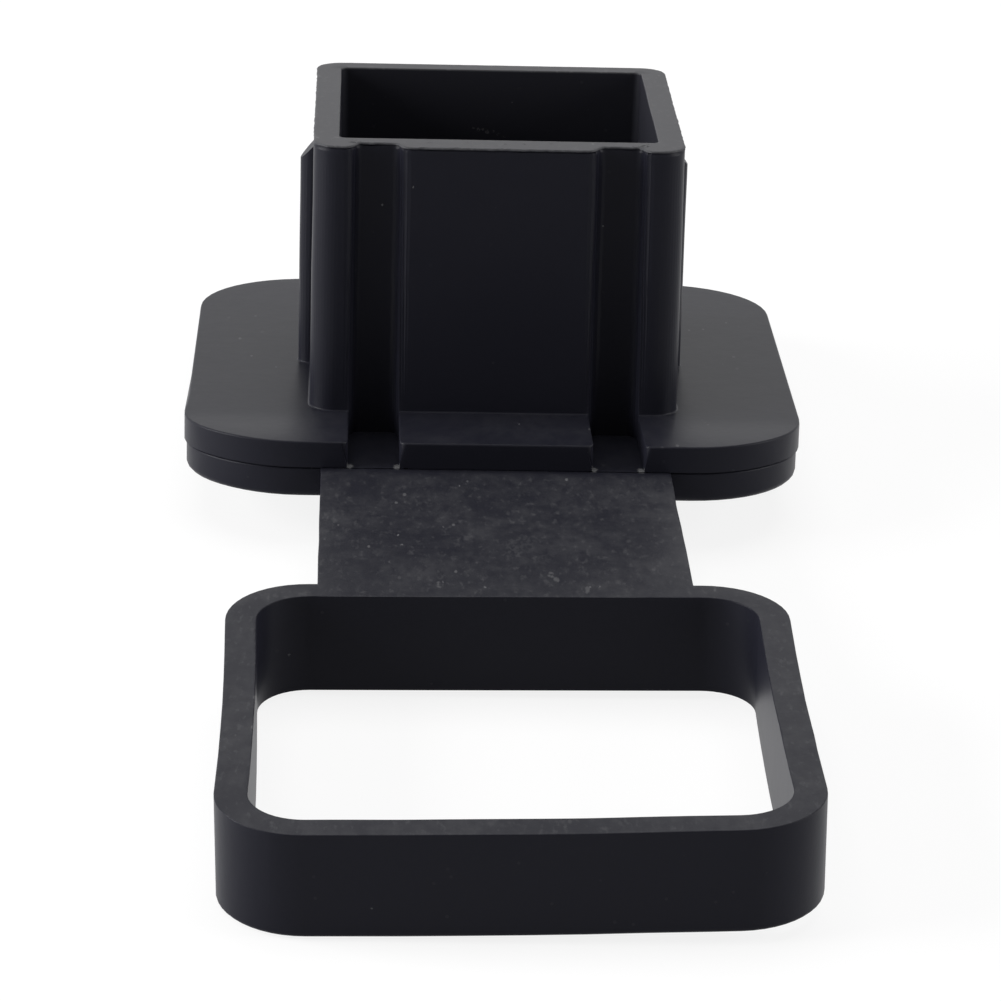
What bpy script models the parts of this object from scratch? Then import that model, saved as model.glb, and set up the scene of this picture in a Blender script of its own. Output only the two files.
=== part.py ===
"""Rubber cover for the open end of a 2 inch towing hitch receiver tube.

The cover is one moulding. A square cap of two layers closes the tube, a hollow
square plug on it grips the inside of the tube, and a flat strap leads from the
cap to a loop that stays round the outside of the tube, so the cover isn't lost.

It is modelled flat, as it leaves the mould: the parting plane runs between the
two layers of the cap and along the top of the strap and of the loop. Then it is
laid down as it rests on a table, on the loop and on the back edge of the cap.
Lengths are in metres, angles in radians. X runs across the strap, the strap
leaves the cap towards -Y, and Z points up, out of the open plug.
"""

import math

import bmesh
import bpy
from mathutils import Matrix, Vector

# Cap: two square layers that meet at the parting plane
CAP_WIDTH = 0.0800
CAP_DEPTH = 0.0800
CAP_CORNER = 0.0150
LOWER_LAYER = 0.0036
UPPER_LAYER = 0.0035
UPPER_OVERHANG = 0.0003
PARTING_GROOVE = 0.0002
GROOVE_DEPTH = 0.0002
LAYER_EDGE = 0.00025
OUTER_FACE_EDGE = 0.0008

# The outer face, flat elsewhere, rises along its back edge from the middle to the corners
CORNER_RISE = 0.0005
CROWN_REACH = 0.0080
CROWN_SECTIONS = 12

# Plug: hollow square spigot, narrower at its rim than at its foot
PLUG_WIDTH = 0.0482
PLUG_DEPTH = 0.0493
PLUG_FORWARD = 0.0006
PLUG_HEIGHT = 0.0354
PLUG_CORNER = 0.0034
PLUG_DRAFT = math.radians(0.25)
PLUG_FOOT_FILLET = 0.00022
RIM_EDGE = 0.0002

# Cavity inside the plug, drafted the other way and open at the rim
SIDE_WALL = 0.0033
BACK_WALL = 0.0031
FRONT_WALL = 0.0048
CAVITY_CORNER = 0.0010
CAVITY_DRAFT = math.radians(0.8)
FLOOR_THICKNESS = 0.0036

# Channels down the front of the plug, which run out through the upper layer
CHANNEL_WIDTH = 0.0066
CHANNEL_DEPTH = 0.0023
CHANNEL_SPACING = 0.0313
CHANNEL_FLOOR_STEP = 0.0002
CHANNEL_CORNER = 0.0008
PAD_EDGE = 0.0010
SLOT_EDGE = 0.0010

# Grip ribs, one half-round upright on each side of the plug, pointed at its top
RIB_SPAN = 0.0517
RIB_RADIUS = 0.00185
RIB_BELOW_RIM = 0.0058
RIB_LEAD_IN = 0.0021
RIB_SEGMENTS = 24

# Strap and loop
STRAP_WIDTH = 0.0447
STRAP_LENGTH = 0.0415
STRAP_THICKNESS = 0.0030
STRAP_EDGE = 0.0005
STRAP_ROOT_FILLET = 0.0012
LOOP_WIDTH = 0.0666
LOOP_DEPTH = 0.0645
LOOP_WALL = 0.0037
LOOP_HEIGHT = 0.01225
LOOP_CORNER = 0.0100
LOOP_EDGE = 0.0005

# How the soft moulding lies: the strap bends before the loop, the tail is twisted and
# turned a little, and the loop has drawn in at its sides and bowed out at its front
BEND_LENGTH = 0.0120
TAIL_TWIST = math.radians(1.4)
LOOP_TURN = math.radians(0.3)
LOOP_WAIST = 0.0005
LOOP_BOW = 0.0006
STRAP_SECTIONS = 14
LOOP_SECTIONS = 10

# Fineness of the round forms
CORNER_SEGMENTS = 12
EDGE_SEGMENTS = 3
OVERLAP = 0.0020
CUT_MARGIN = 0.0050

# Black rubber
RUBBER_COLOUR = (0.014, 0.014, 0.017, 1.0)
RUBBER_ROUGHNESS = 0.62

# Levels and places that follow from the sizes above
PARTING = LOWER_LAYER
CAP_TOP = LOWER_LAYER + UPPER_LAYER
RIM = CAP_TOP + PLUG_HEIGHT
CAP_FRONT = -CAP_DEPTH / 2
LOOP_BACK = CAP_FRONT - STRAP_LENGTH
LOOP_CENTRE = LOOP_BACK - LOOP_DEPTH / 2
LOOP_BOTTOM = PARTING - LOOP_HEIGHT
TAIL_LENGTH = STRAP_LENGTH + LOOP_DEPTH
SAME = 1e-6


def clear_scene():
    for old in list(bpy.data.objects):
        bpy.data.objects.remove(old, do_unlink=True)


def new_collection(name):
    collection = bpy.data.collections.new(name)
    bpy.context.scene.collection.children.link(collection)
    return collection


def rubber_material():
    material = bpy.data.materials.new("black_rubber")
    material.use_nodes = True
    shader = material.node_tree.nodes["Principled BSDF"]
    shader.inputs["Base Color"].default_value = RUBBER_COLOUR
    shader.inputs["Roughness"].default_value = RUBBER_ROUGHNESS
    shader.inputs["Metallic"].default_value = 0.0
    return material


def bevel_edges(bm, edges, width, segments):
    bmesh.ops.bevel(
        bm,
        geom=edges,
        offset=width,
        offset_type="OFFSET",
        segments=segments,
        profile=0.5,
        affect="EDGES",
        clamp_overlap=True,
        material=-1,
    )


def edges_at(bm, level):
    """The edges that lie wholly at one height."""
    return [e for e in bm.edges if all(abs(v.co.z - level) < SAME for v in e.verts)]


def rounded_block(name, width, depth, low, high, corner, draft=0.0, low_edge=0.0, high_edge=0.0):
    """A block with round upright corners. Its sides lean in by the draft, going up."""
    height = high - low
    bm = bmesh.new()
    bmesh.ops.create_cube(bm, size=1.0)
    bmesh.ops.scale(bm, vec=(width, depth, height), verts=bm.verts)
    bmesh.ops.translate(bm, vec=(0.0, 0.0, (low + high) / 2), verts=bm.verts)
    lean = height * math.tan(draft)
    for vert in bm.verts:
        if vert.co.z > low + height / 2:
            vert.co.x *= 1.0 - 2 * lean / width
            vert.co.y *= 1.0 - 2 * lean / depth
    upright = [e for e in bm.edges if abs(e.verts[0].co.z - e.verts[1].co.z) > height / 2]
    bevel_edges(bm, upright, corner, CORNER_SEGMENTS)
    if low_edge:
        bevel_edges(bm, edges_at(bm, low), low_edge, EDGE_SEGMENTS)
    if high_edge:
        bevel_edges(bm, edges_at(bm, high), high_edge, EDGE_SEGMENTS)
    return object_from(bm, name)


def object_from(bm, name):
    bmesh.ops.recalc_face_normals(bm, faces=bm.faces)
    mesh = bpy.data.meshes.new(name)
    bm.to_mesh(mesh)
    bm.free()
    piece = bpy.data.objects.new(name, mesh)
    tools.objects.link(piece)
    return piece


def move(piece, x=0.0, y=0.0):
    piece.data.transform(Matrix.Translation(Vector((x, y, 0.0))))
    return piece


def combine(base, other, operation):
    """Joins or cuts the base with the other piece, which is used up."""
    modifier = base.modifiers.new(operation.lower(), "BOOLEAN")
    modifier.operation = operation
    modifier.solver = "EXACT"
    modifier.object = other
    graph = bpy.context.evaluated_depsgraph_get()
    mesh = bpy.data.meshes.new_from_object(base.evaluated_get(graph))
    base.modifiers.clear()
    base.data = mesh
    bpy.data.objects.remove(other, do_unlink=True)
    return base


def cap():
    """Two layers with rounded rims, joined by a core that is set back to leave the groove."""
    inset = 2 * UPPER_OVERHANG
    lower = rounded_block(
        "lower_layer",
        CAP_WIDTH - inset,
        CAP_DEPTH - inset,
        0.0,
        PARTING - PARTING_GROOVE / 2,
        CAP_CORNER - UPPER_OVERHANG,
        low_edge=OUTER_FACE_EDGE,
        high_edge=LAYER_EDGE,
    )
    upper = rounded_block(
        "upper_layer",
        CAP_WIDTH,
        CAP_DEPTH,
        PARTING + PARTING_GROOVE / 2,
        CAP_TOP,
        CAP_CORNER,
    )
    core_inset = UPPER_OVERHANG + GROOVE_DEPTH
    core = rounded_block(
        "core",
        CAP_WIDTH - 2 * core_inset,
        CAP_DEPTH - 2 * core_inset,
        PARTING - LOWER_LAYER / 2,
        PARTING + UPPER_LAYER / 2,
        CAP_CORNER - core_inset,
    )
    return combine(combine(lower, core, "UNION"), upper, "UNION")


def plug():
    """The outside of the plug, sunk into the cap below its foot."""
    foot = CAP_TOP - OVERLAP
    flare = 2 * OVERLAP * math.tan(PLUG_DRAFT)
    spigot = rounded_block(
        "plug",
        PLUG_WIDTH + flare,
        PLUG_DEPTH + flare,
        foot,
        RIM,
        PLUG_CORNER,
        draft=PLUG_DRAFT,
    )
    return move(spigot, y=-PLUG_FORWARD)


def rim_half(size):
    """Half the size of the plug across its rim."""
    return size / 2 - PLUG_HEIGHT * math.tan(PLUG_DRAFT)


def cavity():
    """The space inside the plug. The front wall is the thick one, because of its channels."""
    top = RIM + CUT_MARGIN
    rise = top - FLOOR_THICKNESS
    grow = (RIM - FLOOR_THICKNESS) * math.tan(CAVITY_DRAFT)
    mouth_width = 2 * (rim_half(PLUG_WIDTH) - SIDE_WALL)
    mouth_depth = 2 * rim_half(PLUG_DEPTH) - FRONT_WALL - BACK_WALL
    hollow = rounded_block(
        "cavity",
        mouth_width - 2 * grow,
        mouth_depth - 2 * grow,
        FLOOR_THICKNESS,
        FLOOR_THICKNESS + rise,
        CAVITY_CORNER,
        draft=-CAVITY_DRAFT,
        low_edge=CAVITY_CORNER / 2,
    )
    return move(hollow, y=(FRONT_WALL - BACK_WALL) / 2 - PLUG_FORWARD)


def rib(side):
    """A round bar half sunk in the side wall, upright, with a cone as its lead-in."""
    foot = CAP_TOP - OVERLAP
    shoulder = RIM - RIB_BELOW_RIM - RIB_LEAD_IN
    bm = bmesh.new()
    bmesh.ops.create_cone(
        bm,
        cap_ends=True,
        segments=RIB_SEGMENTS,
        radius1=RIB_RADIUS,
        radius2=RIB_RADIUS,
        depth=shoulder - foot,
    )
    top = [f for f in bm.faces if all(v.co.z > 0 for v in f.verts)]
    point = bmesh.ops.poke(bm, faces=top)["verts"]
    bmesh.ops.translate(bm, vec=(0.0, 0.0, RIB_LEAD_IN), verts=point)
    bmesh.ops.translate(bm, vec=(0.0, 0.0, (foot + shoulder) / 2), verts=bm.verts)
    bar = object_from(bm, "rib")
    return move(bar, x=side * (RIB_SPAN / 2 - RIB_RADIUS), y=-PLUG_FORWARD)


def plug_front(level):
    """Where the front face of the plug is at this height."""
    return -PLUG_FORWARD - PLUG_DEPTH / 2 + (level - CAP_TOP) * math.tan(PLUG_DRAFT)


def channel(side):
    """Cutter for one channel and for the slot that goes on from it through the upper layer."""
    low = PARTING + CHANNEL_FLOOR_STEP
    high = RIM + CUT_MARGIN
    bm = bmesh.new()
    bmesh.ops.create_cube(bm, size=1.0)
    for vert in bm.verts:
        level = high if vert.co.z > 0 else low
        floor_of_channel = plug_front(level) + CHANNEL_DEPTH
        vert.co.x = side * CHANNEL_SPACING / 2 + math.copysign(CHANNEL_WIDTH / 2, vert.co.x)
        vert.co.y = floor_of_channel if vert.co.y > 0 else CAP_FRONT - CUT_MARGIN
        vert.co.z = level
    inner = [
        e
        for e in bm.edges
        if abs(e.verts[0].co.z - e.verts[1].co.z) > CUT_MARGIN
        and all(v.co.y > CAP_FRONT for v in e.verts)
    ]
    bevel_edges(bm, inner, CHANNEL_CORNER, EDGE_SEGMENTS)
    return object_from(bm, "channel")


def strap():
    """The flat strap, sunk into the lower layer at one end and into the loop at the other."""
    start = CAP_FRONT + OVERLAP
    end = LOOP_BACK - LOOP_WALL / 2
    band = rounded_block(
        "strap",
        STRAP_WIDTH,
        start - end,
        PARTING - STRAP_THICKNESS,
        PARTING,
        STRAP_EDGE,
        low_edge=STRAP_EDGE,
    )
    return move(band, y=(start + end) / 2)


def loop():
    ring = rounded_block(
        "loop",
        LOOP_WIDTH,
        LOOP_DEPTH,
        LOOP_BOTTOM,
        PARTING,
        LOOP_CORNER,
        low_edge=LOOP_EDGE,
    )
    opening = rounded_block(
        "loop_opening",
        LOOP_WIDTH - 2 * LOOP_WALL,
        LOOP_DEPTH - 2 * LOOP_WALL,
        LOOP_BOTTOM - CUT_MARGIN,
        PARTING + CUT_MARGIN,
        LOOP_CORNER - LOOP_WALL,
    )
    return move(combine(ring, opening, "DIFFERENCE"), y=LOOP_CENTRE)


def is_upright(edge):
    rise = abs(edge.verts[0].co.z - edge.verts[1].co.z)
    return rise > 0.9 * edge.calc_length()


def upright_edges(bm, near_x, near_y, reach):
    """Upright edges above the parting plane that stand at this place, on either side."""
    chosen = []
    for edge in bm.edges:
        middle = (edge.verts[0].co + edge.verts[1].co) / 2
        off_x = abs(abs(middle.x) - near_x)
        off_y = abs(middle.y - near_y(middle.z))
        if is_upright(edge) and middle.z > PARTING and off_x < reach and off_y < reach:
            chosen.append(edge)
    return chosen


def round_channel_edges(bm):
    """The upright edges beside the channels, on the plug's front and on the cap's front."""
    inner = (CHANNEL_SPACING - CHANNEL_WIDTH) / 2
    outer = (CHANNEL_SPACING + CHANNEL_WIDTH) / 2
    reach = CHANNEL_DEPTH / 4
    for place in (inner, outer):
        bevel_edges(bm, upright_edges(bm, place, plug_front, reach), PAD_EDGE, EDGE_SEGMENTS)
        front = upright_edges(bm, place, lambda level: CAP_FRONT, reach)
        bevel_edges(bm, front, SLOT_EDGE, EDGE_SEGMENTS)


def is_square(edge):
    """Whether two faces meet here at a right angle or so."""
    return edge.calc_face_angle() > math.radians(60.0)


def round_rim(bm):
    """The outer edge of the plug's rim, also where it runs over the channels."""
    mouth_x = rim_half(PLUG_WIDTH) - SIDE_WALL
    mouth_y = rim_half(PLUG_DEPTH) - BACK_WALL
    chosen = []
    for edge in edges_at(bm, RIM):
        middle = (edge.verts[0].co + edge.verts[1].co) / 2
        off_x = abs(middle.x) - mouth_x
        behind = middle.y + PLUG_FORWARD - mouth_y
        ahead = plug_front(RIM) + FRONT_WALL - middle.y
        if is_square(edge) and max(off_x, behind, ahead) > SIDE_WALL / 4:
            chosen.append(edge)
    bevel_edges(bm, chosen, RIM_EDGE, EDGE_SEGMENTS)


def round_cap_edge(bm):
    """The top edge of the upper layer along its outline, between and beside the slots."""
    half = CAP_WIDTH / 2
    straight = half - CAP_CORNER
    chosen = []
    for edge in edges_at(bm, CAP_TOP):
        middle = (edge.verts[0].co + edge.verts[1].co) / 2
        near = max(abs(middle.x), abs(middle.y)) > half - SLOT_EDGE - SAME
        at_corner = min(abs(middle.x), abs(middle.y)) > straight
        if is_square(edge) and (near or at_corner):
            chosen.append(edge)
    bevel_edges(bm, chosen, LAYER_EDGE, EDGE_SEGMENTS)


def fillet_plug_foot(bm):
    """The inner corner where the plug and its ribs stand on the cap."""
    reach_x = RIB_SPAN / 2 + SAME
    reach_y = PLUG_DEPTH / 2 + PLUG_FORWARD + SAME
    chosen = []
    for edge in edges_at(bm, CAP_TOP):
        on_foot = all(abs(v.co.x) < reach_x and abs(v.co.y) < reach_y for v in edge.verts)
        if on_foot and len(edge.link_faces) == 2 and not edge.is_convex:
            chosen.append(edge)
    bevel_edges(bm, chosen, PLUG_FOOT_FILLET, EDGE_SEGMENTS)


def fillet_strap_root(bm):
    """The two upright inner corners between the strap and the loop."""
    chosen = []
    for edge in bm.edges:
        middle = (edge.verts[0].co + edge.verts[1].co) / 2
        at_side = abs(abs(middle.x) - STRAP_WIDTH / 2) < SAME
        at_loop = abs(middle.y - LOOP_BACK) < SAME
        if is_upright(edge) and at_side and at_loop:
            chosen.append(edge)
    bevel_edges(bm, chosen, STRAP_ROOT_FILLET, EDGE_SEGMENTS)


def section(bm, faces, place, across):
    """A line across these faces, at which the moulding can bend."""
    edges = {e for f in faces for e in f.edges}
    verts = {v for f in faces for v in f.verts}
    bmesh.ops.bisect_plane(
        bm,
        geom=[*verts, *edges, *faces],
        dist=SAME,
        plane_co=place,
        plane_no=across,
    )


def section_back_edge(bm):
    """Lines across the last strip of the outer face and its rounded back edge."""
    start = CAP_DEPTH / 2 - CROWN_REACH
    outer_face = [f for f in bm.faces if all(abs(v.co.z) < SAME for v in f.verts)]
    section(bm, outer_face, Vector((0.0, start, 0.0)), Vector((0.0, 1.0, 0.0)))
    for index in range(1, CROWN_SECTIONS):
        place = Vector((CAP_WIDTH * (index / CROWN_SECTIONS - 0.5), 0.0, 0.0))
        low = OUTER_FACE_EDGE + SAME
        strip = [
            f for f in bm.faces if all(v.co.z < low and v.co.y > start - SAME for v in f.verts)
        ]
        section(bm, strip, place, Vector((1.0, 0.0, 0.0)))


def section_tail(bm):
    """Crosswise lines on the strap and all round the loop."""
    steps = STRAP_SECTIONS + LOOP_SECTIONS
    for index in range(1, steps):
        if index < STRAP_SECTIONS:
            along = STRAP_LENGTH * index / STRAP_SECTIONS
        else:
            along = STRAP_LENGTH + LOOP_DEPTH * (index - STRAP_SECTIONS) / LOOP_SECTIONS
        place = Vector((0.0, CAP_FRONT - along, 0.0))
        section(bm, bm.faces[:], place, Vector((0.0, 1.0, 0.0)))
    for index in range(1, LOOP_SECTIONS):
        place = Vector((LOOP_WIDTH * (index / LOOP_SECTIONS - 0.5), 0.0, 0.0))
        front = [f for f in bm.faces if f.calc_center_median().y < LOOP_CENTRE]
        section(bm, front, place, Vector((1.0, 0.0, 0.0)))


def cap_pitch():
    """The lean of the cap that brings the loop and the cap's back edge onto one table."""
    low_side = math.sin(TAIL_TWIST) * LOOP_WIDTH / 2
    rise = LOOP_HEIGHT + low_side - PARTING
    run = CAP_DEPTH + STRAP_LENGTH - BEND_LENGTH / 2
    return math.asin(rise / run)


def crowned(point):
    """The same point once the outer face's back edge has risen towards its corners."""
    behind = (point.y - CAP_DEPTH / 2 + CROWN_REACH) / CROWN_REACH
    below = 1.0 - 2 * point.z / LOWER_LAYER
    if behind <= 0.0 or below <= 0.0:
        return point
    across = 2 * point.x / CAP_WIDTH
    return point + Vector((0.0, 0.0, CORNER_RISE * across ** 2 * behind * below))


def slack(point):
    """The same point once the loop has drawn in at its sides and bowed out at its front."""
    share = (CAP_FRONT - STRAP_LENGTH - point.y) / LOOP_DEPTH
    if share <= 0.0:
        return point
    half = 2 * point.x / LOOP_WIDTH
    drawn_in = LOOP_WAIST * half * math.sin(math.pi * share)
    bowed = LOOP_BOW * math.cos(math.pi * half / 2) * share ** 2
    return point + Vector((-drawn_in, -bowed, 0.0))


def laid(point, pitch):
    """Where a point of the flat moulding comes to lie.

    The middle line of the parting plane runs straight out of the cap, bends level
    over the last part of the strap, turns along the strap and twists along the tail.
    """
    along = CAP_FRONT - point.y
    straight = min(along, STRAP_LENGTH - BEND_LENGTH)
    bent = min(max(along - straight, 0.0), BEND_LENGTH)
    level = max(along - STRAP_LENGTH, 0.0)
    lean = pitch * (1.0 - bent / BEND_LENGTH)
    radius = BEND_LENGTH / pitch
    forward = straight * math.cos(pitch) + radius * (math.sin(pitch) - math.sin(lean)) + level
    upward = straight * math.sin(pitch) + radius * (math.cos(lean) - math.cos(pitch))
    share = min(max(along / STRAP_LENGTH, 0.0), 1.0)
    turn = LOOP_TURN * share
    twist = TAIL_TWIST * min(max(along / TAIL_LENGTH, 0.0), 1.0)
    sideways = turn * (share * STRAP_LENGTH / 2 + level)
    centre = Vector((sideways, CAP_FRONT - forward, PARTING + upward))
    facing = (
        Matrix.Rotation(turn, 3, "Z")
        @ Matrix.Rotation(-lean, 3, "X")
        @ Matrix.Rotation(-twist, 3, "Y")
    )
    return centre + facing @ Vector((point.x, 0.0, point.z - PARTING))


def lay_down(bm):
    """Moves every point to where it lies, and puts the origin under the middle of the box."""
    pitch = cap_pitch()
    for vert in bm.verts:
        vert.co = laid(slack(crowned(vert.co)), pitch)
    low = Vector([min(v.co[axis] for v in bm.verts) for axis in range(3)])
    high = Vector([max(v.co[axis] for v in bm.verts) for axis in range(3)])
    origin = Vector(((low.x + high.x) / 2, (low.y + high.y) / 2, low.z))
    bmesh.ops.translate(bm, vec=-origin, verts=bm.verts)


def hitch_cover():
    """The whole moulding, joined while flat, then filleted and laid down."""
    body = cap()
    for piece in (plug(), rib(-1), rib(1)):
        combine(body, piece, "UNION")
    for cutter in (cavity(), channel(-1), channel(1)):
        combine(body, cutter, "DIFFERENCE")
    tail = combine(loop(), strap(), "UNION")
    combine(body, tail, "UNION")

    bm = bmesh.new()
    bm.from_mesh(body.data)
    bmesh.ops.remove_doubles(bm, verts=bm.verts, dist=SAME)
    round_channel_edges(bm)
    round_rim(bm)
    round_cap_edge(bm)
    fillet_plug_foot(bm)
    fillet_strap_root(bm)
    section_back_edge(bm)
    section_tail(bm)
    lay_down(bm)
    bmesh.ops.recalc_face_normals(bm, faces=bm.faces)
    mesh = bpy.data.meshes.new("hitch_cover")
    bm.to_mesh(mesh)
    bm.free()
    bpy.data.objects.remove(body, do_unlink=True)
    mesh.materials.append(rubber_material())
    mesh.shade_smooth()
    mesh.set_sharp_from_angle(angle=math.radians(30.0))
    cover = bpy.data.objects.new("hitch_cover", mesh)
    parts.objects.link(cover)
    return cover


clear_scene()
parts = new_collection("hitch_receiver_cover")
tools = new_collection("working_pieces")
hitch_cover()
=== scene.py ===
import math

import bmesh
import bpy
from mathutils import Matrix, Vector, noise


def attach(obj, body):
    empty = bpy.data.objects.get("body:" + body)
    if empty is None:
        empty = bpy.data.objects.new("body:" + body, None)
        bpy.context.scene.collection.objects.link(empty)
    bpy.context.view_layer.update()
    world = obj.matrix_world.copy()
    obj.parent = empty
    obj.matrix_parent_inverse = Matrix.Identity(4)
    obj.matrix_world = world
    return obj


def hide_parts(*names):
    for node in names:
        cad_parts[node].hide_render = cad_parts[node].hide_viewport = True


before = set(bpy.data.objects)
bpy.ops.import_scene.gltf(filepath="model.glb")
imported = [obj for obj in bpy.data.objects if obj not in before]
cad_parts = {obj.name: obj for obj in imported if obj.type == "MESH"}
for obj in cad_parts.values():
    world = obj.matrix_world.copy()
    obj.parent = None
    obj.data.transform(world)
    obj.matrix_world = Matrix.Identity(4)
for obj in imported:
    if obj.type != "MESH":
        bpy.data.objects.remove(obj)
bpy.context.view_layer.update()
scene = bpy.context.scene
scene.view_settings.view_transform = "Standard"


# ---------------------------------------------------------------- camera
# The cover is seen from the strap's side and from above, about 0.6 m away,
# through a long lens, with the plug in the upper half of the picture.

def aim_camera():
    data = bpy.data.cameras.new("camera")
    data.sensor_width = 36.0
    data.lens = 161.67
    camera = bpy.data.objects.new("camera", data)
    place = Vector((-0.01819, -0.51658, 0.22921))
    right = Vector((0.99935, -0.02445, 0.02649))
    up = Vector((-0.01494, 0.38809, 0.92151))
    back = -Vector((0.03281, 0.92130, -0.38747))
    turn = Matrix((right, up, back)).transposed().to_4x4()
    camera.matrix_world = Matrix.Translation(place) @ turn
    scene.collection.objects.link(camera)
    scene.camera = camera


aim_camera()


# ---------------------------------------------------------------- floor and light
# A white table in a white room, under a large soft box. The table keeps a pale
# soft shadow where the cover touches it.

def link(tree, source, output, target, socket):
    tree.links.new(source.outputs[output], target.inputs[socket])


def seen_directly(tree):
    """A mask of the rays that show the white of the table and the room."""
    rays = tree.nodes.new("ShaderNodeLightPath")
    mirror = tree.nodes.new("ShaderNodeMath")
    mirror.operation = "MAXIMUM"
    link(tree, rays, "Is Glossy Ray", mirror, 0)
    link(tree, rays, "Is Transmission Ray", mirror, 1)
    seen = tree.nodes.new("ShaderNodeMath")
    seen.operation = "MAXIMUM"
    link(tree, rays, "Is Camera Ray", seen, 0)
    link(tree, mirror, "Value", seen, 1)
    return seen


def floor_material():
    material = bpy.data.materials.new("floor_white")
    material.use_nodes = True
    tree = material.node_tree
    shader = tree.nodes["Principled BSDF"]
    shader.inputs["Base Color"].default_value = (0.90, 0.90, 0.90, 1.0)
    shader.inputs["Roughness"].default_value = 0.9
    shader.inputs["Specular IOR Level"].default_value = 0.1
    white = tree.nodes.new("ShaderNodeEmission")
    white.inputs["Strength"].default_value = 1.06
    share = tree.nodes.new("ShaderNodeMath")
    share.operation = "MULTIPLY"
    share.inputs[1].default_value = 0.8
    mix = tree.nodes.new("ShaderNodeMixShader")
    link(tree, seen_directly(tree), "Value", share, 0)
    link(tree, share, "Value", mix, 0)
    link(tree, shader, "BSDF", mix, 1)
    link(tree, white, "Emission", mix, 2)
    link(tree, mix, "Shader", tree.nodes["Material Output"], "Surface")
    return material


def lay_floor():
    bm = bmesh.new()
    bmesh.ops.create_grid(bm, x_segments=1, y_segments=1, size=3.0)
    mesh = bpy.data.meshes.new("floor")
    bm.to_mesh(mesh)
    bm.free()
    floor = bpy.data.objects.new("floor", mesh)
    floor.location = (0.0, 0.0, -0.0002)
    scene.collection.objects.link(floor)
    mesh.materials.append(floor_material())


def light_room():
    world = bpy.data.worlds.new("room")
    world.use_nodes = True
    scene.world = world
    tree = world.node_tree
    tree.nodes.clear()
    out = tree.nodes.new("ShaderNodeOutputWorld")
    mix = tree.nodes.new("ShaderNodeMixShader")
    room = tree.nodes.new("ShaderNodeBackground")
    room.inputs["Color"].default_value = (1.0, 1.0, 1.0, 1.0)
    room.inputs["Strength"].default_value = 0.09
    white = tree.nodes.new("ShaderNodeBackground")
    white.inputs["Color"].default_value = (1.0, 1.0, 1.0, 1.0)
    white.inputs["Strength"].default_value = 1.0
    link(tree, seen_directly(tree), "Value", mix, 0)
    link(tree, room, "Background", mix, 1)
    link(tree, white, "Background", mix, 2)
    link(tree, mix, "Shader", out, "Surface")


def hang_light(name, place, target, width, depth, power):
    data = bpy.data.lights.new(name, "AREA")
    data.shape = "RECTANGLE"
    data.size = width
    data.size_y = depth
    data.energy = power
    light = bpy.data.objects.new(name, data)
    light.location = place
    way = Vector(target) - Vector(place)
    light.rotation_euler = way.to_track_quat("-Z", "Y").to_euler()
    scene.collection.objects.link(light)


lay_floor()
light_room()
hang_light("soft_box", (0.0, 0.45, 1.60), (0.0, 0.0, 0.0), 1.5, 1.3, 14.5)
hang_light("left_panel", (-0.90, -0.04, 0.30), (0.0, 0.0, 0.02), 0.7, 0.6, 13.5)
hang_light("right_panel", (0.90, -0.08, 0.30), (0.0, 0.0, 0.02), 0.6, 0.5, 5.0)


# ---------------------------------------------------------------- rubber moulding
# The cover itself: one soft black rubber moulding, with the fine rounding that
# every moulded edge has, a ragged lip where its rim was trimmed, and the slight
# waviness of soft walls.

LEAN_SINE = 0.0819359
LEAN_COSINE = 0.9966376
CAP_CENTRE = Vector((0.0, 0.052378, 0.0075228))
PARTING = 0.0036
CAP_TOP = 0.0071
RIM = 0.0425
CAP_FRONT = -0.0400
EDGE_ROUNDING = 0.00013


def cap_point(point):
    """A point of the room in the cap's own frame, with Z up the leaning plug."""
    along = LEAN_COSINE * point.y - LEAN_SINE * point.z
    up = LEAN_SINE * point.y + LEAN_COSINE * point.z
    return Vector((point.x, along, up)) - CAP_CENTRE


def room_point(point):
    """The way back from the cap's own frame."""
    point = point + CAP_CENTRE
    along = LEAN_COSINE * point.y + LEAN_SINE * point.z
    up = LEAN_COSINE * point.z - LEAN_SINE * point.y
    return Vector((point.x, along, up))


def merged_copy():
    bm = bmesh.new()
    bm.from_mesh(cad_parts["hitch_cover"].data)
    bmesh.ops.remove_doubles(bm, verts=bm.verts, dist=1e-6)
    bmesh.ops.dissolve_limit(
        bm,
        angle_limit=math.radians(0.3),
        verts=bm.verts,
        edges=bm.edges,
    )
    return bm


def edge_middle(edge):
    return cap_point((edge.verts[0].co + edge.verts[1].co) / 2)


def is_plain_edge(middle):
    """Whether the edge here still needs its fine rounding."""
    if middle.y < CAP_FRONT - 0.0010:
        return True
    if middle.z > RIM - 0.00005:
        return not outside_plug(middle)
    over_slot = 0.0115 < abs(middle.x) < 0.0198 and middle.y < -0.0252
    return abs(middle.z - CAP_TOP) < 0.00005 and over_slot


def soften_edges(bm):
    """A fine rounding on the edges of the cavity's mouth, the slots and the tail."""
    sharp = []
    for edge in bm.edges:
        if not edge.is_manifold or edge.calc_face_angle(0.0) < math.radians(38.0):
            continue
        if is_plain_edge(edge_middle(edge)):
            sharp.append(edge)
    bmesh.ops.bevel(
        bm,
        geom=sharp,
        offset=EDGE_ROUNDING,
        offset_type="OFFSET",
        affect="EDGES",
        segments=2,
        profile=0.5,
        clamp_overlap=False,
        material=-1,
    )


def cut_across(bm, faces, place, across):
    """A line of new edges across these faces."""
    edges = {edge for face in faces for edge in face.edges}
    verts = {vert for face in faces for vert in face.verts}
    bmesh.ops.bisect_plane(
        bm,
        geom=[*verts, *edges, *faces],
        dist=1e-7,
        plane_co=place,
        plane_no=across,
    )


def outside_plug(point):
    """Whether a point at the rim is on the outside of the plug's wall."""
    return abs(point.x) > 0.0220 or point.y < -0.0217 or point.y > 0.0220


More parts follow.
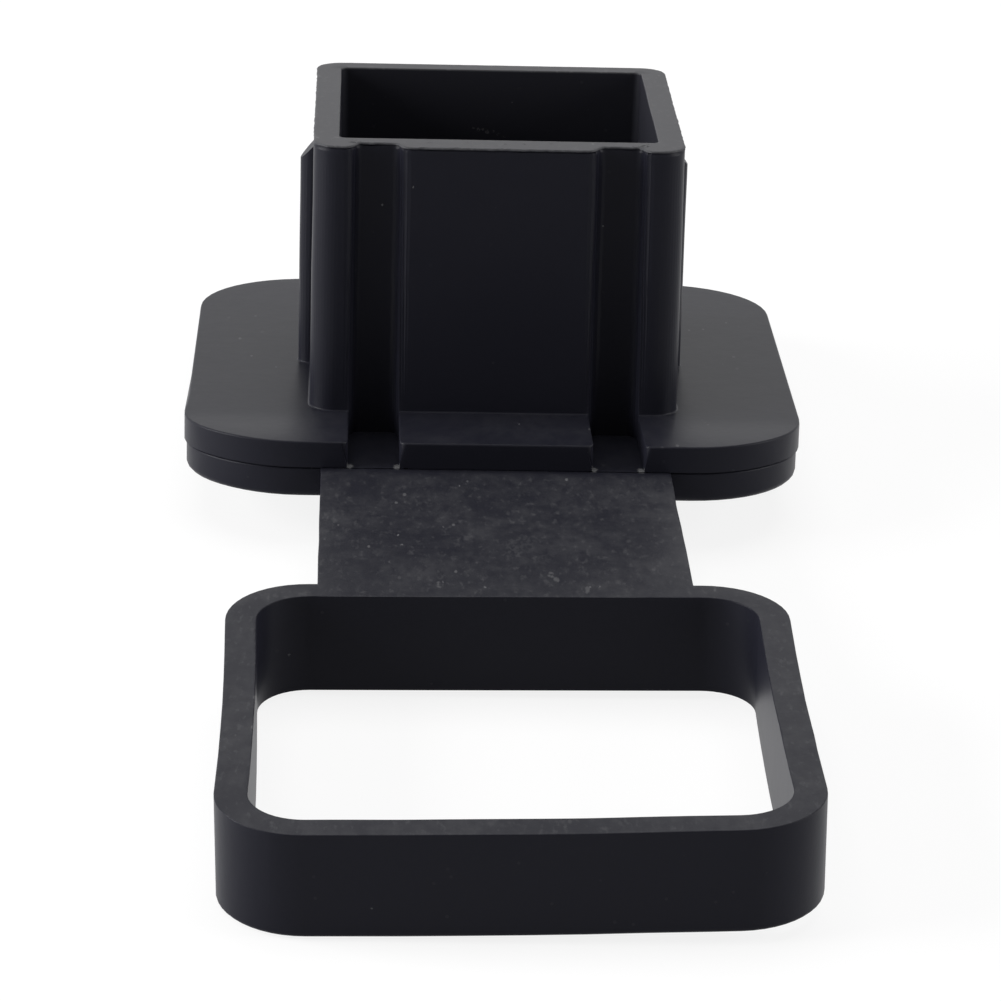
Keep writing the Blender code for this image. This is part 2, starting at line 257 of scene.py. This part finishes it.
def cut_under_rim(bm):
    """Rows round the outside of the plug just under its rim, for the lip."""
    up = Vector((0.0, LEAN_SINE, LEAN_COSINE))
    for below in (0.00024, 0.00027, 0.00038, 0.00054, 0.0011):
        place = room_point(Vector((0.0, 0.0, RIM - below)))
        faces = []
        for face in bm.faces:
            middle = cap_point(face.calc_center_median())
            if middle.z > CAP_TOP + 0.001 and outside_plug(middle):
                faces.append(face)
        cut_across(bm, faces, place, up)


def longest_edge(edge):
    """How long this edge may be. Hidden faces and curved sides keep their long edges."""
    point = edge_middle(edge)
    if point.y < CAP_FRONT - 0.0005:
        on_top = any(face.normal.z > 0.7 for face in edge.link_faces)
        return 0.0020 if on_top else 1.0
    if point.z > RIM - 0.0012:
        if not outside_plug(point):
            return 0.0030
        return 0.0005 if point.y < -0.0215 else 0.0012
    if abs(point.x) < 0.0212 and -0.0210 < point.y < 0.0212:
        return 1.0
    if point.z > CAP_TOP + 0.0005:
        return 0.0028
    if point.z > CAP_TOP - 0.0003:
        return 0.0030
    if point.z > 0.0030 and abs(point.x) < 0.0240 and point.y < -0.0210:
        return 0.0016
    return 1.0


def subdivide_long_edges(bm):
    for step in range(12):
        bmesh.ops.triangulate(bm, faces=bm.faces)
        bm.normal_update()
        long = [edge for edge in bm.edges if edge.calc_length() > longest_edge(edge)]
        if not long:
            break
        bmesh.ops.subdivide_edges(bm, edges=long, cuts=1)
    bmesh.ops.triangulate(bm, faces=bm.faces)


def ripple(place, length):
    """A smooth wave from -1 to 1 with humps about this long."""
    return noise.noise(place / length) * 1.6


def smooth(value):
    """0 below zero, 1 above one, and a smooth step between them."""
    value = min(max(value, 0.0), 1.0)
    return value * value * (3.0 - 2.0 * value)


def rim_lip(point, normal):
    """The trimmed rim overhangs a little, raggedly, with a crease under it."""
    below = RIM - point.z
    if below > 0.0011 or not outside_plug(point) or point.y < CAP_FRONT:
        return point
    out = Vector((normal.x, normal.y, 0.0))
    if out.length < 0.25:
        return point
    out.normalize()
    at_front = smooth((-0.0190 - point.y) / 0.003)
    place = Vector((point.x, point.y, 0.0))
    ragged = 0.00007 + 0.00011 * ripple(place, 0.0018) + 0.00010 * ripple(place, 0.0007)
    lip = max(ragged, -0.00003) * (0.40 + 0.60 * at_front)
    if below < 0.00025:
        rise = 0.00005 * ripple(place + Vector((0.0, 0.0, 0.5)), 0.0010) * at_front
        return point + out * lip + Vector((0.0, 0.0, rise))
    if below < 0.00045:
        return point - out * (0.00020 + 0.00012 * ripple(place, 0.0025)) * at_front
    return point


def in_slot(point):
    """Whether this lies in the width of one of the two slots."""
    return 0.0122 < abs(point.x) < 0.0191


def close_groove(point):
    """Under the ledge the parting groove is closed, and the slots run out flush."""
    if point.y < CAP_FRONT - 0.0001 or abs(point.x) > 0.0222:
        return point
    at_edge = point.y < CAP_FRONT + 0.0001
    if at_edge and abs(point.z - PARTING - 0.00005) < 0.00002:
        return Vector((point.x, point.y, PARTING))
    if in_slot(point) and point.y < -0.0215 and abs(point.z - PARTING - 0.0002) < 0.00008:
        return Vector((point.x, point.y, PARTING + (0.00002 if at_edge else 0.00005)))
    return point


def slant_channel(point):
    """The walls of the channels draw in towards their floor, as the mould's ribs do."""
    foot = -0.02525 + (point.z - CAP_TOP) * 0.00436
    depth = (point.y - foot) / 0.0023
    across = abs(point.x) - 0.01565
    if depth <= 0.0 or depth > 1.1 or abs(across) > 0.0036:
        return point
    across *= 1.0 - 0.20 * min(depth, 1.0)
    return Vector((math.copysign(0.01565 + across, point.x), point.y, point.z))


def lift_front(point):
    """The front of the cap stands up a little where the strap pulls on it."""
    front = smooth((-0.0260 - point.y) / 0.0130)
    strap = 1.0 - smooth((CAP_FRONT - point.y) / 0.0120)
    height = min(max(point.z / PARTING, 0.0), 1.0)
    return point + Vector((0.0, 0.0, 0.00040 * front * strap * height))


def bulge_corner(point):
    """The left front corner of the cap stands out a little."""
    if point.x > -0.0300 or point.y < CAP_FRONT - 0.001 or point.z > CAP_TOP + 0.001:
        return point
    near = max(1.0 - ((point.y + 0.0290) / 0.0110) ** 2, 0.0) ** 2
    out = Vector((-0.9, -0.45, 0.0)) * 0.00040
    return point + out * near * smooth((-0.0300 - point.x) / 0.007)


def slope_rib_top(point):
    """The lead-in of each rib is one flat slope that comes out of the wall."""
    on_rib = 0.02395 < abs(point.x) < 0.0262 and abs(point.y + 0.0006) < 0.0019
    if not on_rib or not RIM - 0.0081 < point.z < RIM - 0.0050:
        return point
    return Vector((point.x, point.y, RIM - 0.0058 - 1.135 * (abs(point.x) - 0.0240)))


def shift_rib(point):
    """Each rib stands a little in front of the middle of its wall."""
    beside = abs(point.y + 0.0006)
    if abs(point.x) < 0.0233 or abs(point.x) > 0.0272 or point.z < CAP_TOP - 0.0001:
        return point
    if point.z > RIM - 0.0006 or beside > 0.0050:
        return point
    near = 1.0 - smooth((beside - 0.0020) / 0.0030)
    if point.z < CAP_TOP + 0.0001:
        near *= 1.0 - smooth((abs(point.x) - 0.0262) / 0.0010)
    raised = smooth((point.z - 0.0240) / 0.0100) * (1.0 - smooth((point.z - 0.0372) / 0.0045))
    below_rim = 1.0 - smooth((point.z - 0.0380) / 0.0035)
    return point + Vector((0.0, -0.0009 * near * below_rim, 0.0006 * near * raised))


def wavy(point):
    """Soft walls and trimmed edges are never quite straight."""
    if point.y < CAP_FRONT - 0.001:
        side = 0.00005 * ripple(Vector((point.y, math.copysign(0.05, point.x), 0.0)), 0.007)
        front = 0.00003 * ripple(Vector((point.x, 0.3, 0.0)), 0.009)
        return point + Vector((side, front, 0.00004 * ripple(point, 0.013)))
    if point.z > CAP_TOP + 0.001:
        wave = 0.00004 * min((point.z - CAP_TOP) / 0.010, 1.0)
        return point + Vector((
            wave * ripple(point + Vector((0.0, 0.0, 0.2)), 0.012),
            wave * ripple(point + Vector((0.0, 0.0, 0.4)), 0.012),
            0.0,
        ))
    return point


def shape_details(bm):
    bm.normal_update()
    turn = Matrix((
        (1.0, 0.0, 0.0),
        (0.0, LEAN_COSINE, -LEAN_SINE),
        (0.0, LEAN_SINE, LEAN_COSINE),
    ))
    for vert in bm.verts:
        point = cap_point(vert.co)
        normal = turn @ vert.normal
        for change in (close_groove, slant_channel, slope_rib_top, shift_rib, bulge_corner, lift_front):
            point = change(point)
        point = rim_lip(point, normal)
        point = wavy(point)
        vert.co = room_point(point)


def start_group(name, outputs):
    """An empty node group with these float or colour outputs, and its output node."""
    tree = bpy.data.node_groups.new(name, "ShaderNodeTree")
    for output, kind in outputs:
        tree.interface.new_socket(output, in_out="OUTPUT", socket_type=kind)
    return tree, tree.nodes.new("NodeGroupOutput")


def calculate(tree, operation, first, second):
    """A math node of two values, each a number or a (node, output) pair."""
    node = tree.nodes.new("ShaderNodeMath")
    node.operation = operation
    for index, value in enumerate((first, second)):
        if isinstance(value, tuple):
            link(tree, value[0], value[1], node, index)
        else:
            node.inputs[index].default_value = value
    return node, "Value"


def ramp(tree, value, low, high):
    """0 below the low level, 1 above the high one, smooth between them."""
    node = tree.nodes.new("ShaderNodeMapRange")
    node.interpolation_type = "SMOOTHSTEP"
    link(tree, value[0], value[1], node, "Value")
    node.inputs["From Min"].default_value = low
    node.inputs["From Max"].default_value = high
    return node, "Result"


def cap_coordinates(tree, scale):
    """Object coordinates turned into the cap's own frame, stretched by the scale."""
    place = tree.nodes.new("ShaderNodeTexCoord")
    lean = tree.nodes.new("ShaderNodeMapping")
    lean.inputs["Rotation"].default_value = (math.asin(LEAN_SINE), 0.0, 0.0)
    lean.inputs["Location"].default_value = -CAP_CENTRE
    link(tree, place, "Object", lean, "Vector")
    stretch = tree.nodes.new("ShaderNodeMapping")
    stretch.inputs["Scale"].default_value = scale
    link(tree, lean, "Vector", stretch, "Vector")
    return stretch, "Vector"


def cloud(tree, scale, detail, vector):
    node = tree.nodes.new("ShaderNodeTexNoise")
    node.inputs["Scale"].default_value = scale
    node.inputs["Detail"].default_value = detail
    node.inputs["Roughness"].default_value = 0.6
    link(tree, vector[0], vector[1], node, "Vector")
    return node, "Fac"


def dots(tree, scale, size, vector):
    """Small round specks in some of the cells of a grid of this fineness."""
    cells = tree.nodes.new("ShaderNodeTexVoronoi")
    cells.inputs["Scale"].default_value = scale
    link(tree, vector[0], vector[1], cells, "Vector")
    near = calculate(tree, "LESS_THAN", (cells, "Distance"), size)
    parts = tree.nodes.new("ShaderNodeSeparateColor")
    link(tree, cells, "Color", parts, "Color")
    chosen = calculate(tree, "GREATER_THAN", (parts, "Red"), 0.74)
    strength = calculate(tree, "MULTIPLY", (parts, "Green"), chosen)
    return calculate(tree, "MULTIPLY", near, strength)


def places_group():
    """Masks of where a point lies: rim, tail, faces that look up, inside of the plug."""
    tree, out = start_group("places", [
        ("Rim", "NodeSocketFloat"),
        ("Tail", "NodeSocketFloat"),
        ("Upward", "NodeSocketFloat"),
        ("Inside", "NodeSocketFloat"),
    ])
    place = cap_coordinates(tree, (1.0, 1.0, 1.0))
    parts = tree.nodes.new("ShaderNodeSeparateXYZ")
    link(tree, place[0], place[1], parts, "Vector")
    rim = ramp(tree, (parts, "Z"), RIM - 0.00030, RIM - 0.00012)
    link(tree, rim[0], rim[1], out, "Rim")
    back = ramp(tree, (parts, "Y"), CAP_FRONT - 0.0030, CAP_FRONT - 0.0002)
    tail = calculate(tree, "SUBTRACT", 1.0, back)
    link(tree, tail[0], tail[1], out, "Tail")
    within = calculate(tree, "LESS_THAN", calculate(tree, "ABSOLUTE", (parts, "X"), 0.0), 0.0213)
    between = calculate(tree, "LESS_THAN", calculate(tree, "ABSOLUTE", (parts, "Y"), 0.0), 0.0213)
    under = calculate(tree, "LESS_THAN", (parts, "Z"), RIM - 0.00015)
    inside = calculate(tree, "MULTIPLY", calculate(tree, "MULTIPLY", within, between), under)
    link(tree, inside[0], inside[1], out, "Inside")
    surface = tree.nodes.new("ShaderNodeTexCoord")
    facing = tree.nodes.new("ShaderNodeSeparateXYZ")
    link(tree, surface, "Normal", facing, "Vector")
    upward = ramp(tree, (facing, "Z"), 0.55, 0.95)
    link(tree, upward[0], upward[1], out, "Upward")
    return tree


def dust_group():
    """Pale dust: a mottled film, fine short streaks and single specks."""
    tree, out = start_group("dust", [
        ("Film", "NodeSocketFloat"),
        ("Streaks", "NodeSocketFloat"),
        ("Specks", "NodeSocketFloat"),
    ])
    plain = cap_coordinates(tree, (1.0, 1.0, 1.0))
    broad = cloud(tree, 110.0, 3.0, plain)
    fine = cloud(tree, 700.0, 4.0, cap_coordinates(tree, (1.0, 0.5, 1.0)))
    mixed = calculate(tree, "MULTIPLY", broad, fine)
    dust_and_painted_light = ramp(tree, mixed, 0.10, 0.46)
    link(tree, dust_and_painted_light[0], dust_and_painted_light[1], out, "Film")
    drawn = cap_coordinates(tree, (1.0, 0.42, 1.0))
    lines = cloud(tree, 1300.0, 3.0, drawn)
    streaks = ramp(tree, lines, 0.54, 0.76)
    link(tree, streaks[0], streaks[1], out, "Streaks")
    small = dots(tree, 260.0, 0.07, drawn)
    tiny = dots(tree, 560.0, 0.12, drawn)
    specks = calculate(tree, "MAXIMUM", small, tiny)
    link(tree, specks[0], specks[1], out, "Specks")
    return tree


def marks_group():
    """Single pale flecks and rubbed spots, and painted highlights at the feet of the slots, each with
    its place, radius and strength.
    """
    marks = (
        ((-0.00707, -0.06167, 0.00357), 0.00022, 0.9),
        ((-0.01262, -0.06489, 0.00353), 0.00020, 0.8),
        ((-0.01215, -0.06866, 0.00352), 0.00024, 0.8),
        ((-0.01363, -0.07472, 0.00339), 0.00020, 0.9),
        ((-0.00745, -0.08086, 0.00308), 0.00018, 0.7),
        ((-0.00237, -0.08229, 0.00302), 0.00022, 0.8),
        ((0.01011, -0.08213, 0.00316), 0.00020, 0.7),
        ((0.01130, -0.08211, 0.00317), 0.00016, 0.7),
        ((0.00500, -0.07350, 0.00358), 0.00130, 0.12),
        ((-0.02548, -0.08519, -0.00485), 0.00020, 0.8),
        ((-0.01562, -0.14553, -0.01133), 0.00018, 0.7),
        ((-0.01501, -0.02283, 0.03427), 0.00018, 0.8),
        ((-0.01108, -0.02512, 0.03731), 0.00016, 0.7),
        ((0.00294, 0.02073, 0.03807), 0.00016, 0.5),
        ((0.01348, 0.02072, 0.03713), 0.00016, 0.5),
        ((0.01310, -0.02282, 0.04020), 0.00016, 0.6),
        ((0.01361, -0.02284, 0.03198), 0.00020, 0.7),
        ((0.02714, -0.02662, 0.00710), 0.00022, 0.5),
        ((0.02745, -0.02770, 0.00710), 0.00022, 0.5),
        ((0.02777, -0.02879, 0.00710), 0.00022, 0.5),
        ((-0.00230, 0.02068, 0.03440), 0.00032, 0.35),
        ((-0.00165, 0.02068, 0.03405), 0.00036, 0.45),
        ((-0.00100, 0.02068, 0.03415), 0.00026, 0.40),
        ((-0.00035, 0.02068, 0.03380), 0.00040, 0.45),
        ((0.00040, 0.02068, 0.03390), 0.00028, 0.35),
        ((0.00120, 0.02067, 0.03345), 0.00034, 0.40),
        ((0.00200, 0.02066, 0.03315), 0.00030, 0.30),
        # Painted highlights: bright spots where the walls of the slots meet the front of the cap.
        ((-0.01865, -0.03920, 0.00420), 0.00060, 1.0),
        ((-0.01265, -0.03920, 0.00420), 0.00060, 1.0),
        ((0.01255, -0.03920, 0.00420), 0.00060, 1.0),
        ((0.01855, -0.03920, 0.00420), 0.00060, 1.0),
        ((0.00100, -0.06900, 0.00360), 0.00180, 0.20),
        ((0.00320, -0.06820, 0.00363), 0.00190, 0.18),
        ((0.00560, -0.07850, 0.00330), 0.00060, 0.45),
        ((0.00620, -0.07990, 0.00325), 0.00050, 0.45),
        ((-0.00780, -0.08170, 0.00305), 0.00060, 0.45),
        ((0.00960, -0.08290, 0.00316), 0.00070, 0.45),
    )
    tree, out = start_group("marks", [("Flecks_and_highlights", "NodeSocketFloat")])
    plain = cap_coordinates(tree, (1.0, 0.45, 1.0))
    uneven = tree.nodes.new("ShaderNodeTexNoise")
    uneven.inputs["Scale"].default_value = 3000.0
    link(tree, plain[0], plain[1], uneven, "Vector")
    push = tree.nodes.new("ShaderNodeVectorMath")
    push.operation = "MULTIPLY_ADD"
    link(tree, uneven, "Color", push, 0)
    push.inputs[1].default_value = (0.0004, 0.0004, 0.0004)
    link(tree, plain[0], plain[1], push, 2)
    broken = ramp(tree, cloud(tree, 2300.0, 3.0, plain), 0.36, 0.58)
    total = calculate(tree, "ADD", 0.0, 0.0)
    for place, radius, strength in marks:
        away = tree.nodes.new("ShaderNodeVectorMath")
        away.operation = "DISTANCE"
        link(tree, push, "Vector", away, 0)
        away.inputs[1].default_value = (place[0] + 0.0002, 0.45 * place[1] + 0.0002, place[2] + 0.0002)
        near = tree.nodes.new("ShaderNodeMapRange")
        near.interpolation_type = "SMOOTHSTEP"
        link(tree, away, "Value", near, "Value")
        near.inputs["From Min"].default_value = radius * 0.5
        near.inputs["From Max"].default_value = radius
        near.inputs["To Min"].default_value = strength
        near.inputs["To Max"].default_value = 0.0
        mark = (near, "Result")
        if strength < 1.0:
            mark = calculate(tree, "MULTIPLY", mark, broken)
        total = calculate(tree, "MAXIMUM", total, mark)
    link(tree, total[0], total[1], out, "Flecks_and_highlights")
    return tree


def grain_group():
    """The fine grain of the mould's face and the low unevenness of the rubber."""
    tree, out = start_group("grain", [("Height", "NodeSocketFloat")])
    plain = cap_coordinates(tree, (1.0, 1.0, 1.0))
    fine = cloud(tree, 4200.0, 2.0, plain)
    uneven = cloud(tree, 330.0, 2.0, plain)
    small = calculate(tree, "MULTIPLY", fine, 0.25)
    height = calculate(tree, "ADD", small, uneven)
    link(tree, height[0], height[1], out, "Height")
    return tree


def rubber_material():
    material = bpy.data.materials.new("moulded_rubber")
    material.use_nodes = True
    tree = material.node_tree
    shader = tree.nodes["Principled BSDF"]
    shader.inputs["Specular IOR Level"].default_value = 0.083
    places = tree.nodes.new("ShaderNodeGroup")
    places.node_tree = places_group()
    dust = tree.nodes.new("ShaderNodeGroup")
    dust.node_tree = dust_group()
    marks = tree.nodes.new("ShaderNodeGroup")
    marks.node_tree = marks_group()
    grain = tree.nodes.new("ShaderNodeGroup")
    grain.node_tree = grain_group()

    # Pale dust on the faces that look up, which is also painted light: the tops of the cap, the loop
    # and the strap are painted lighter than the fronts, as light falls on them.
    settled_dust_and_top_light = calculate(tree, "MULTIPLY", (dust, "Film"), (places, "Upward"))
    tail_dust_and_top_light = calculate(tree, "MULTIPLY", settled_dust_and_top_light, (places, "Tail"))
    streaked = calculate(tree, "MULTIPLY", (dust, "Streaks"), (places, "Tail"))
    streaked = calculate(tree, "MULTIPLY", streaked, (places, "Upward"))
    tail_top_dust_and_light = calculate(tree, "MULTIPLY", (places, "Tail"), (places, "Upward"))
    dust_and_painted_light = calculate(tree, "MULTIPLY", settled_dust_and_top_light, 0.06)
    dust_and_painted_light = calculate(tree, "ADD", dust_and_painted_light, calculate(tree, "MULTIPLY", tail_top_dust_and_light, 0.035))
    dust_and_painted_light = calculate(tree, "ADD", dust_and_painted_light, calculate(tree, "MULTIPLY", tail_dust_and_top_light, 0.09))
    dust_and_painted_light = calculate(tree, "ADD", dust_and_painted_light, calculate(tree, "MULTIPLY", streaked, 0.20))
    # The walls inside the plug's cavity are given a lighter colour.
    dust_and_painted_light = calculate(tree, "ADD", dust_and_painted_light, calculate(tree, "MULTIPLY", (places, "Inside"), 0.06))
    # The top face of the rim is given a lighter colour with streaks through it.
    rim_streaking = calculate(tree, "ADD", calculate(tree, "MULTIPLY", (dust, "Streaks"), 0.25), 0.38)
    rim_lightening = calculate(tree, "MULTIPLY", (places, "Rim"), rim_streaking)
    dust_and_painted_light = calculate(tree, "ADD", dust_and_painted_light, rim_lightening)
    reach = calculate(tree, "ADD", calculate(tree, "MULTIPLY", (places, "Upward"), 0.55), 0.06)
    specks = calculate(tree, "MULTIPLY", (dust, "Specks"), reach)
    cover = calculate(tree, "ADD", dust_and_painted_light, specks)
    cover = calculate(tree, "MAXIMUM", cover, (marks, "Flecks_and_highlights"))
    colour = tree.nodes.new("ShaderNodeMix")
    colour.data_type = "RGBA"
    colour.inputs[6].default_value = (0.0100, 0.0102, 0.0155, 1.0)
    colour.inputs[7].default_value = (0.130, 0.130, 0.135, 1.0)
    link(tree, cover[0], cover[1], colour, 0)
    link(tree, colour, 2, shader, "Base Color")
    dull = tree.nodes.new("ShaderNodeMapRange")
    link(tree, cover[0], cover[1], dull, "Value")
    dull.inputs["To Min"].default_value = 0.38
    dull.inputs["To Max"].default_value = 0.60
    link(tree, dull, "Result", shader, "Roughness")
    bump = tree.nodes.new("ShaderNodeBump")
    bump.inputs["Strength"].default_value = 0.75
    bump.inputs["Distance"].default_value = 0.00003
    link(tree, grain, "Height", bump, "Height")
    link(tree, bump, "Normal", shader, "Normal")
    return material


def make_cover():
    bm = merged_copy()
    soften_edges(bm)
    cut_under_rim(bm)
    subdivide_long_edges(bm)
    shape_details(bm)
    for face in bm.faces:
        face.smooth = True
    for edge in bm.edges:
        middle = edge_middle(edge)
        at_rib_top = abs(middle.x) > 0.02385 and 0.0335 < middle.z < 0.0385
        if edge.calc_face_angle(0.0) > math.radians(25.0 if at_rib_top else 52.0):
            edge.smooth = False
    mesh = bpy.data.meshes.new("rubber_moulding")
    bm.to_mesh(mesh)
    bm.free()
    cover = bpy.data.objects.new("rubber_moulding", mesh)
    mesh.materials.append(rubber_material())
    scene.collection.objects.link(cover)
    weighted = cover.modifiers.new("weighted_normals", "WEIGHTED_NORMAL")
    weighted.mode = "FACE_AREA"
    weighted.weight = 60
    weighted.keep_sharp = True
    print("triangles", len(mesh.polygons))
    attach(cover, "root")
    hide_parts("hitch_cover")


make_cover()
